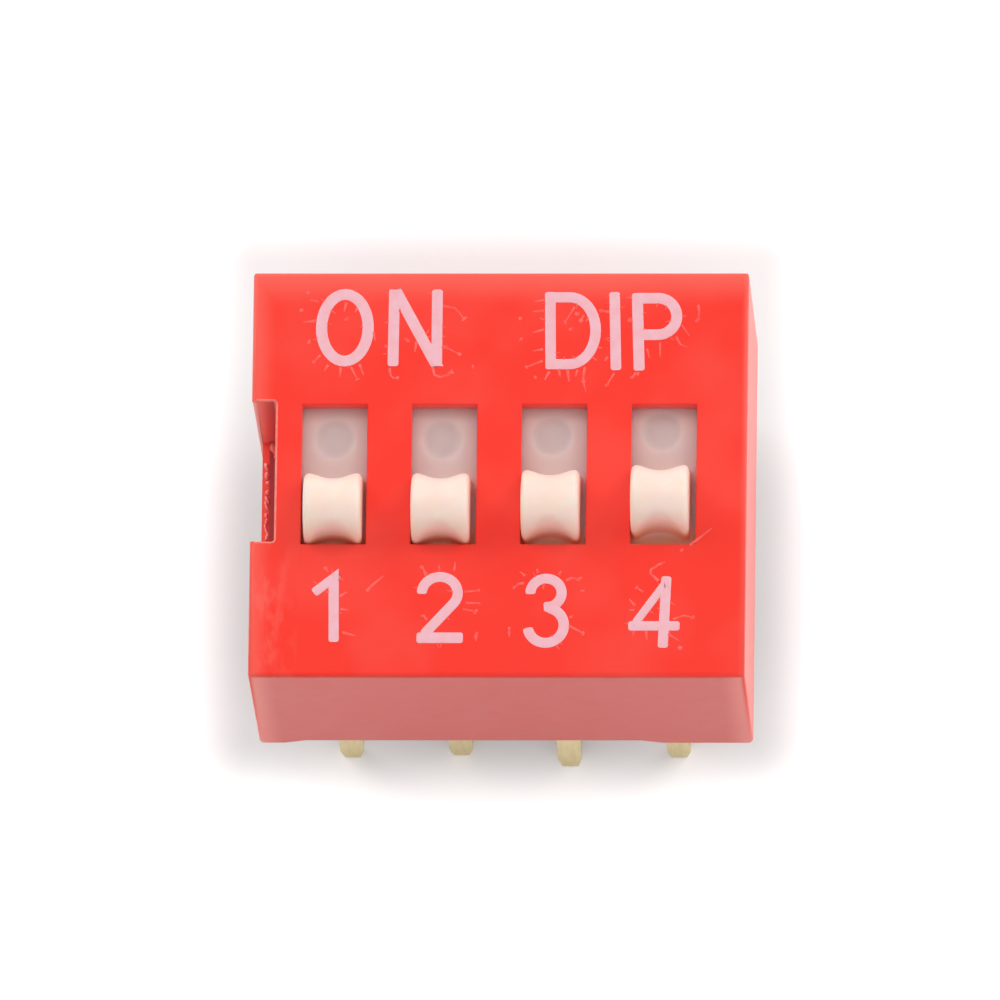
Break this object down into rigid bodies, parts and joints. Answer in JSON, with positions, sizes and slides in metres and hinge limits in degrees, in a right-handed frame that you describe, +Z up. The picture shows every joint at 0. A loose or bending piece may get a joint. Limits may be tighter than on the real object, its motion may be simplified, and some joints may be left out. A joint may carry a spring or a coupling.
{
  "type": "dip switch",
  "caption": "Slide switch block in a dual in-line package: red moulded cover with slots, domed ivory sliders that move on and off, and rows of splayed through-hole pins.",
  "frame": {"origin": "middle of the pin grid, in the plane of the board that the cover's feet stand on", "axes": "+X along the row from switch 1 to switch 4, +Y towards the ON side, +Z up and out of the board"},
  "size_m": [0.0114, 0.0098, 0.0091],
  "materials": {
    "cover": "satin moulded thermoplastic, bright red",
    "base": "matt moulded thermoplastic, black",
    "slider": "satin moulded thermoplastic, ivory",
    "contact": "gold-plated spring strip",
    "terminal": "pale gold plated strip, slightly dull"
  },
  "bodies": {
    "housing": {"cover": "cover", "base": "base", "terminal_front_1": "terminal", "terminal_front_2": "terminal", "terminal_front_3": "terminal", "terminal_front_4": "terminal", "terminal_back_1": "terminal", "terminal_back_2": "terminal", "terminal_back_3": "terminal", "terminal_back_4": "terminal"},
    "position_1": {"slider_1": "slider", "contact_1": "contact"},
    "position_2": {"slider_2": "slider", "contact_2": "contact"},
    "position_3": {"slider_3": "slider", "contact_3": "contact"},
    "position_4": {"slider_4": "slider", "contact_4": "contact"}
  },
  "joints": [
    {"name": "slide_1", "type": "slide", "parent": "housing", "child": "position_1", "axis": [0, 1, 0], "range_m": [0, 0.00167]},
    {"name": "slide_2", "type": "slide", "parent": "housing", "child": "position_2", "axis": [0, 1, 0], "range_m": [0, 0.00167]},
    {"name": "slide_3", "type": "slide", "parent": "housing", "child": "position_3", "axis": [0, 1, 0], "range_m": [-0.00008, 0.00159]},
    {"name": "slide_4", "type": "slide", "parent": "housing", "child": "position_4", "axis": [0, 1, 0], "range_m": [-0.0002, 0.00147]}
  ]
}
